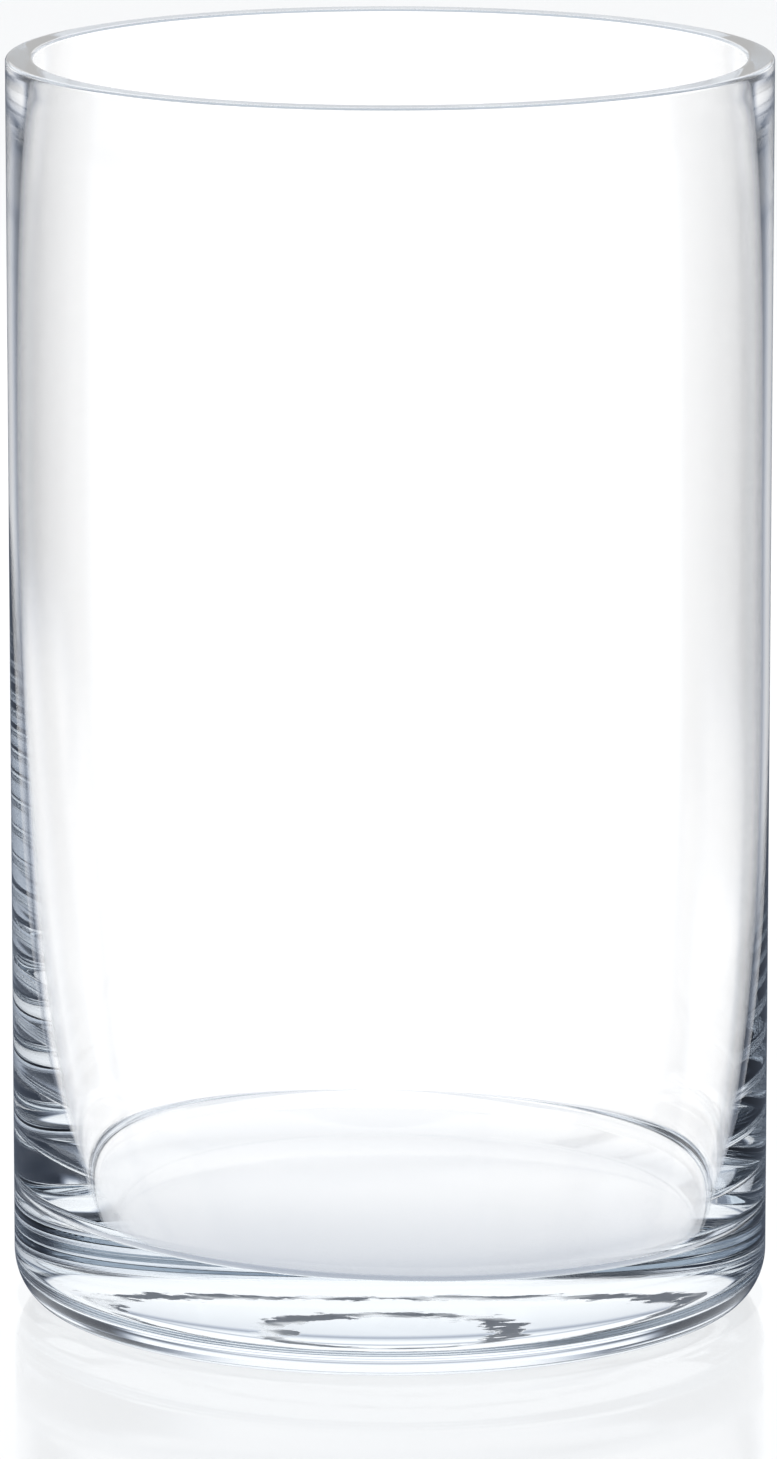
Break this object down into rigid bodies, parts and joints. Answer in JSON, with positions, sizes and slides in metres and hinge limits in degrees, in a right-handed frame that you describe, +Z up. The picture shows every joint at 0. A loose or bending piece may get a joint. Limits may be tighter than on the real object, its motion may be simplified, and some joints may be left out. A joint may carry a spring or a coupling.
{
  "type": "glass cylinder vase",
  "caption": "Clear hand-blown glass cylinder vase with a thick solid base, a flat polished rim and a straight wide mouth for flower stems.",
  "frame": {"origin": "centre of the flat underside that the vase stands on, on the plane of the table", "axes": "+Z up through the mouth along the vase's axis of revolution; +X and +Y are free, the shape is round"},
  "size_m": [0.152, 0.152, 0.251],
  "materials": {
    "clear_glass": "clear, fire-polished"
  },
  "bodies": {
    "root": {"glass_body": "clear_glass"}
  },
  "joints": []
}
